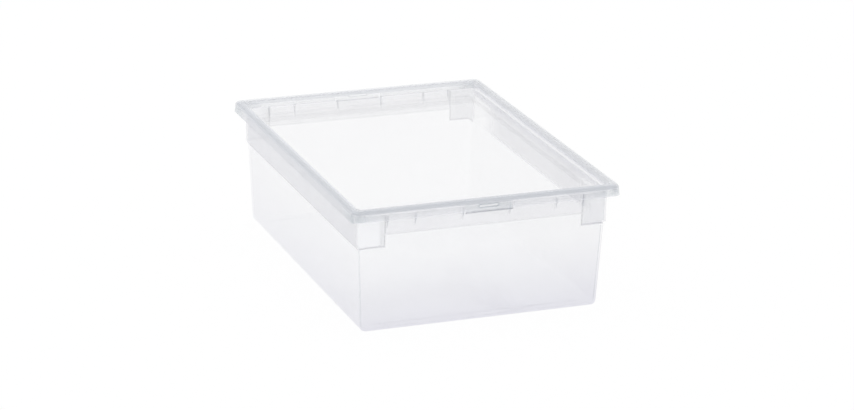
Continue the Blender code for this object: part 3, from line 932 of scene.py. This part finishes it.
def lid_zones(graph):
    """The lid's zones, each with the mask that places it and the finish that it has there. Its
    sides differ only by painted shade and light, and the rim carries painted shade and a painted
    highlight.
    """
    side = graph.step(graph.towards_side, 0, MASK_EDGE)
    right = graph.product(side, graph.step(graph.x, 0, MASK_EDGE))
    left = graph.maths("SUBTRACT", side, right)
    rear = graph.product(graph.one_minus(side), graph.step(graph.y, 0, MASK_EDGE))

    ledge = graph.step(graph.outwards, HALF_LENGTH - RECESS_LOW_INSET, MASK_EDGE)
    high = graph.step(graph.z, SHOULDER_Z - CREST_OVERLAP, MASK_EDGE)
    slope_foot = HALF_LENGTH - CREST_WIDTH - CREST_SLOPE
    past_foot = graph.step(graph.outwards, slope_foot + CREST_FADE / 2, CREST_FADE)
    crest = graph.product(past_foot, high)
    slope_start = slope_foot - CREST_FADE / 2
    slope_end = slope_foot + CREST_FADE
    slope = graph.window(graph.outwards, slope_start, slope_end, CREST_FADE / 2)

    skirt_edge = HALF_LENGTH - SKIRT_DRAFT - LID_WALL
    outside = graph.step(graph.outwards, skirt_edge, MASK_EDGE)
    skirt = graph.product(outside, graph.one_minus(high))
    from_corner = graph.maths("ABSOLUTE", graph.towards_side)
    corner = graph.product(skirt, graph.ramp(from_corner, RIM_CORNER_REACH, RIM_CORNER_CORE))
    skirt_highlight = graph.ramp(graph.z, SKIRT_BOTTOM_Z + SKIRT_HIGHLIGHT_HEIGHT, SKIRT_BOTTOM_Z)
    return (
        (ledge, LEDGE_FINISH),
        (graph.product(ledge, left), LEFT_LEDGE_SHADE),
        (graph.product(ledge, right), RIGHT_LEDGE_SHADE),
        (crest, CREST_SHADE),
        (graph.product(crest, right), RIGHT_CREST_LIGHT),
        (graph.product(slope, right), RIGHT_SLOPE_SHADE),
        (graph.product(crest, rear), REAR_CREST_LIGHT),
        (skirt, SKIRT_FINISH),
        (graph.product(skirt, left), LEFT_SKIRT_SHADE),
        (corner, RIM_CORNER_SHADE),
        (graph.product(corner, left), LEFT_RIM_CORNER_SHADE),
        (graph.product(skirt, skirt_highlight, graph.one_minus(left)), SKIRT_HIGHLIGHT),
    )


def lid_material():
    """The lid's plastic. Where zones overlap, a later one covers an earlier one."""
    graph = SurfaceGraph("lid_plastic")
    plastic(graph, PANEL_FINISH, lid_zones(graph))
    return graph.material


def tab_material(name, finish, grip_shadow, slot_shade):
    """The lid's plastic, with a painted shadow along the tab's thick lower edge and painted shade
    round its slot.
    """
    graph = SurfaceGraph(name)
    fade_start, fade_end = [TAB_BOTTOM_Z + GRIP_HEIGHT * share for share in GRIP_FADE]
    grip = graph.ramp(graph.z, fade_start, fade_end)
    half_width = SLOT_WIDTH / 2 + SLOT_SHADE_WIDTH
    half_height = SLOT_HEIGHT / 2 + SLOT_SHADE_WIDTH
    from_slot = graph.maths("ABSOLUTE", graph.maths("SUBTRACT", graph.z, SLOT_Z))
    slot = graph.product(
        graph.maths("LESS_THAN", graph.from_middle_x, half_width),
        graph.maths("LESS_THAN", from_slot, half_height),
    )
    plastic(graph, finish, ((grip, grip_shadow), (slot, slot_shade)))
    return graph.material


def plastic(graph, first, zones):
    """Milky plastic: each face scatters the haze share of the light and lets the rest through."""
    colour, haze, roughness, slant = first
    for mask, finish in zones:
        colour = graph.colour_between(mask, colour, finish.colour)
        haze = graph.between(mask, haze, finish.haze)
        roughness = graph.between(mask, roughness, finish.roughness)
        slant = graph.between(mask, slant, finish.slant)
    cloud = graph.noise(CLOUD_SIZE)
    grain = graph.noise(GRAIN_SIZE)
    haze = graph.maths("MULTIPLY", haze, graph.between(cloud, *CLOUD_SPAN))
    haze = graph.slanted(haze, slant)
    roughness = graph.maths("MULTIPLY", roughness, graph.between(grain, *GRAIN_SPAN))
    wave = graph.bump(cloud, WAVE_HEIGHT)
    normal = graph.bump(grain, GRAIN_HEIGHT, normal=wave)

    body = graph.shader
    graph.put(colour, body.inputs["Base Color"])
    graph.put(haze, body.inputs["Alpha"])
    graph.put(PLASTIC_IOR, body.inputs["IOR"])
    gloss = graph.nodes.new("ShaderNodeBsdfGlossy")
    graph.put(WHITE, gloss.inputs["Color"])
    for shader in (body, gloss):
        graph.put(roughness, shader.inputs["Roughness"])
        graph.put(normal, shader.inputs["Normal"])

    # The gloss lies on the side of each face that looks out of the plastic
    shine = graph.nodes.new("ShaderNodeFresnel")
    graph.put(PLASTIC_IOR, shine.inputs["IOR"])
    geometry = graph.nodes.new("ShaderNodeNewGeometry")
    outer = graph.one_minus(geometry.outputs["Backfacing"])
    share = graph.product(shine.outputs[0], outer)
    graph.mix_shaders(share, body, gloss, graph.output.inputs["Surface"])

    tint = graph.nodes.new("ShaderNodeVolumeAbsorption")
    graph.put(PLASTIC_TINT, tint.inputs["Color"])
    graph.put(PLASTIC_DENSITY, tint.inputs["Density"])
    graph.put(tint.outputs[0], graph.output.inputs["Volume"])


def floor_shade(graph, path):
    """White, and shaded towards the viewer where it shows through the plastic."""
    seen_through = graph.maths("GREATER_THAN", path.outputs["Transparent Depth"], 0)
    left_x = BASE_INSET - HALF_WIDTH
    front_y = BASE_INSET - HALF_LENGTH
    from_left = graph.ramp(graph.x, left_x + SHADE_RUN * SIGHT_X, left_x)
    from_front = graph.ramp(graph.y, front_y + SHADE_RUN * SIGHT_Y, front_y)
    shade = graph.product(
        graph.maths("MAXIMUM", from_left, from_front),
        graph.ramp(graph.x, left_x - SHADE_MARGIN, left_x),
        graph.ramp(graph.y, front_y - SHADE_MARGIN, front_y),
        graph.between(graph.ramp(graph.y, -front_y, front_y), SHADE_REAR, 1.0),
        seen_through,
    )
    return graph.colour_between(shade, WHITE, SHADE_COLOUR)


def floor_material():
    """White to the camera, to gloss and to clear plastic, with the object's shadow on it."""
    graph = SurfaceGraph("white_floor")
    graph.nodes.remove(graph.shader)
    path = graph.nodes.new("ShaderNodeLightPath")
    seen = path.outputs["Is Camera Ray"]
    for ray in ("Is Glossy Ray", "Is Transmission Ray"):
        seen = graph.maths("MAXIMUM", seen, path.outputs[ray])
    shade = floor_shade(graph, path)
    lit = graph.nodes.new("ShaderNodeBsdfDiffuse")
    glow = graph.nodes.new("ShaderNodeEmission")
    for shader in (lit, glow):
        graph.put(shade, shader.inputs["Color"])
    share = graph.maths("MULTIPLY", seen, FLOOR_GLOW)
    graph.mix_shaders(share, lit, glow, graph.output.inputs["Surface"])
    return graph.material


def make_floor():
    bm = bmesh.new()
    bmesh.ops.create_grid(bm, x_segments=1, y_segments=1, size=FLOOR_HALF_SIZE)
    floor = add_object("studio_floor", mesh_from(bm, "studio_floor"))
    floor.location.z = -FLOOR_DROP
    floor.data.materials.append(floor_material())


def make_world():
    """A plain pale room that lights the object evenly, with the backdrop for the camera."""
    world = bpy.data.worlds.new("studio")
    bpy.context.scene.world = world
    graph = Graph(world)
    graph.nodes.clear()
    output = graph.nodes.new("ShaderNodeOutputWorld")
    room = graph.nodes.new("ShaderNodeBackground")
    graph.put(ROOM_COLOUR, room.inputs["Color"])
    backdrop = graph.nodes.new("ShaderNodeBackground")
    graph.put(BACKDROP_COLOUR, backdrop.inputs["Color"])
    path = graph.nodes.new("ShaderNodeLightPath")
    graph.mix_shaders(path.outputs["Is Camera Ray"], room, backdrop, output.inputs["Surface"])


def make_lamp():
    """A soft lamp above, aimed at the origin."""
    data = bpy.data.lights.new("softbox", "AREA")
    data.shape = "SQUARE"
    data.size = LAMP_SIZE
    data.energy = LAMP_WATTS
    lamp = add_object("softbox", data)
    lamp.location = LAMP_PLACE
    lamp.rotation_euler = (-Vector(LAMP_PLACE)).to_track_quat("-Z", "Y").to_euler()


def make_camera():
    data = bpy.data.cameras.new("photo_view")
    data.sensor_fit = "HORIZONTAL"
    data.sensor_width = SENSOR_MM
    data.lens = LENS_MM
    data.clip_end = CAMERA_REACH
    camera = add_object("photo_view", data)
    camera.location = CAMERA_PLACE
    camera.rotation_euler = CAMERA_TURN
    bpy.context.scene.camera = camera


def set_light_paths():
    cycles = bpy.context.scene.cycles
    cycles.max_bounces = MAX_BOUNCES
    cycles.transmission_bounces = MAX_BOUNCES
    cycles.glossy_bounces = GLOSSY_BOUNCES
    cycles.diffuse_bounces = DIFFUSE_BOUNCES
    cycles.transparent_max_bounces = CLEAR_WALLS


# Studio
bpy.context.scene.view_settings.view_transform = "Standard"
set_light_paths()
make_camera()
make_world()
make_floor()
make_lamp()

# Pieces
box_plastic = box_material()
lid_plastic = lid_material()
front_plastic = tab_material("front_tab_plastic", FRONT_TAB_SHADE, GRIP_SHADOW, SLOT_SHADE)
# The rear tab's finishes are lighter copies of the front one's: painted light for how it is lit
rear_lit_finishes = (REAR_TAB_LIGHT, REAR_GRIP_SHADOW, REAR_SLOT_SHADE)
rear_plastic = tab_material("rear_tab_plastic", *rear_lit_finishes)
make_box(box_plastic)
make_lid(lid_plastic)
make_tab("rear_tab_moulding", 0, "rear_tab", "rear_snap_tab", rear_plastic)
make_tab("front_tab_moulding", math.pi, "front_tab", "front_snap_tab", front_plastic)
